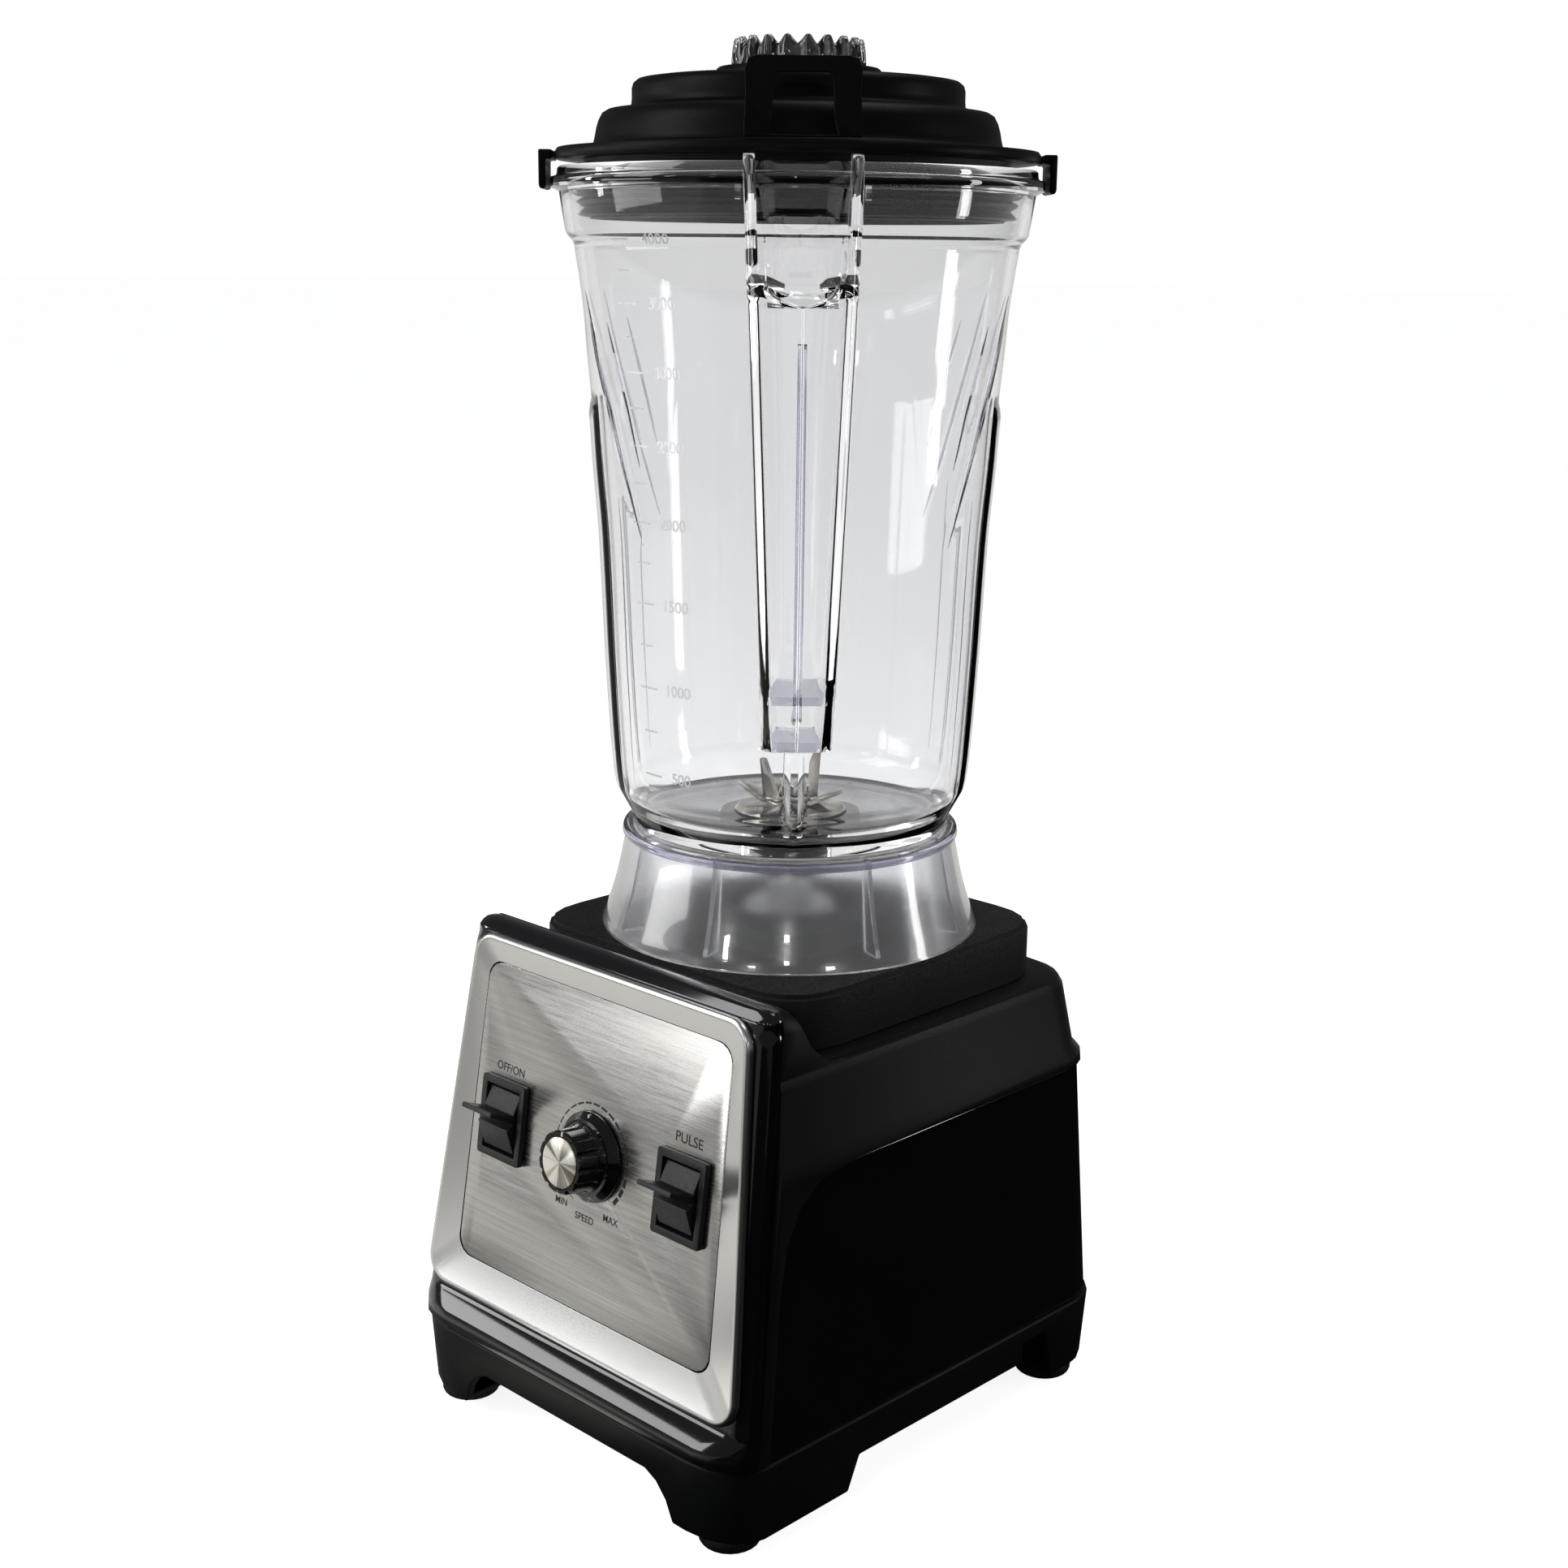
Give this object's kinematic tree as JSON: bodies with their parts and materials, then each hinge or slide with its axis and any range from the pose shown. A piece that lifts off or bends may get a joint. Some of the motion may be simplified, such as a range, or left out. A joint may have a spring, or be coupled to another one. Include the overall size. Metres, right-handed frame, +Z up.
{
  "type": "countertop blender",
  "caption": "Countertop blender with a black motor base, brushed control panel with two paddle switches and a speed knob, and a tall clear handled jug with a black lid.",
  "frame": {"origin": "middle of the footprint, on the surface that the feet stand on", "axes": "+Z up along the jug's axis, control panel toward -Y, the panel's right toward +X"},
  "size_m": [0.1996, 0.2364, 0.566],
  "materials": {
    "satin_black": "satin moulded shell",
    "gloss_black": "glossy black moulding",
    "black_rubber": "matte rubber",
    "satin_silver": "satin silver trim",
    "brushed_panel": "horizontally brushed stainless sheet",
    "spun_aluminium": "spun radial finish",
    "steel": "plain machined steel",
    "polished_steel": "polished stainless",
    "clear_plastic": "clear copolyester",
    "smoke_plastic": "faintly smoky clear plastic",
    "copper": "enamelled copper wire",
    "board_green": "circuit board"
  },
  "bodies": {
    "base": {"base_plinth": "satin_black", "bottom_plate": "satin_black", "foot_front_left": "black_rubber", "foot_front_right": "black_rubber", "foot_rear_left": "black_rubber", "foot_rear_right": "black_rubber", "upper_housing": "satin_black", "lower_housing": "gloss_black", "power_inlet": "satin_black", "front_bezel": "gloss_black", "trim_frame": "satin_silver", "control_panel": "brushed_panel", "power_switch_housing": "satin_black", "pulse_switch_housing": "satin_black", "speed_potentiometer": "steel", "potentiometer_nut": "steel", "jug_seat_pad": "black_rubber", "motor_stator": "steel", "field_coil_left": "copper", "field_coil_right": "copper", "motor_bracket_top": "satin_silver", "motor_bracket_bottom": "satin_silver", "bearing_top": "steel", "bearing_bottom": "steel", "brush_holder_left": "copper", "brush_holder_right": "copper", "fan_shroud": "satin_black", "control_board": "board_green"},
    "rotor": {"motor_shaft": "steel", "armature": "copper", "commutator": "copper", "cooling_fan": "satin_black", "drive_socket": "steel"},
    "power_rocker": {"power_paddle": "satin_black"},
    "pulse_rocker": {"pulse_paddle": "satin_black"},
    "speed_control": {"speed_knob": "gloss_black", "knob_cap": "spun_aluminium", "potentiometer_shaft": "steel"},
    "jug": {"jug_body": "clear_plastic", "jug_handle": "clear_plastic", "handle_screw_left": "steel", "handle_screw_right": "steel", "handle_screw_lower": "steel", "jug_skirt": "smoke_plastic", "blade_bearing_housing": "polished_steel", "blade_bearing_upper": "steel", "blade_bearing_lower": "steel", "blade_seal": "black_rubber", "blade_retaining_nut": "steel"},
    "blades": {"blade_lower": "polished_steel", "blade_upper": "polished_steel", "blade_nut": "polished_steel", "blade_shaft": "polished_steel", "drive_coupling": "steel"},
    "lid": {"lid_cover": "black_rubber", "lid_seal": "black_rubber", "lid_pull_loop": "black_rubber"},
    "latch_left": {"lid_latch_left": "black_rubber"},
    "latch_right": {"lid_latch_right": "black_rubber"},
    "filler_cap": {"filler_cap": "clear_plastic"}
  },
  "joints": [
    {"name": "jug_lift", "type": "slide", "parent": "base", "child": "jug", "axis": [0, 0, 1], "range_m": [0, 0.06]},
    {"name": "lid_lift", "type": "slide", "parent": "jug", "child": "lid", "axis": [0, 0, 1], "range_m": [0, 0.06]},
    {"name": "cap_lift", "type": "slide", "parent": "lid", "child": "filler_cap", "axis": [0, 0, 1], "range_m": [0, 0.045]},
    {"name": "latch_left_flex", "type": "hinge", "parent": "lid", "child": "latch_left", "pos_m": [-0.06873, -0.05648, 0.5225], "axis": [-0.7071, 0.7071, 0], "range_deg": [0, 35], "stiffness_Nm_per_rad": 0.05},
    {"name": "latch_right_flex", "type": "hinge", "parent": "lid", "child": "latch_right", "pos_m": [0.06873, 0.08098, 0.5225], "axis": [0.7071, -0.7071, 0], "range_deg": [0, 35], "stiffness_Nm_per_rad": 0.05},
    {"name": "motor_spin", "type": "hinge", "parent": "base", "child": "rotor", "pos_m": [0, 0.01225, 0.12], "axis": [0, 0, 1], "continuous": true},
    {"name": "blade_spin", "type": "hinge", "parent": "jug", "child": "blades", "pos_m": [0, 0.01225, 0.24], "axis": [0, 0, 1], "continuous": true},
    {"name": "power_switch_rock", "type": "hinge", "parent": "base", "child": "power_rocker", "pos_m": [-0.0538, -0.09914, 0.13403], "axis": [1, 0, 0], "range_deg": [0, 30]},
    {"name": "pulse_switch_press", "type": "hinge", "parent": "base", "child": "pulse_rocker", "pos_m": [0.0538, -0.09914, 0.13403], "axis": [1, 0, 0], "range_deg": [0, 18], "stiffness_Nm_per_rad": 0.1},
    {"name": "speed_knob_turn", "type": "hinge", "parent": "base", "child": "speed_control", "pos_m": [0, -0.09914, 0.13403], "axis": [0, -0.9906, 0.1371], "range_deg": [-146, 146]}
  ],
  "couplings": [
    {"joint": "blade_spin", "follows": "motor_spin", "ratio": 1}
  ]
}
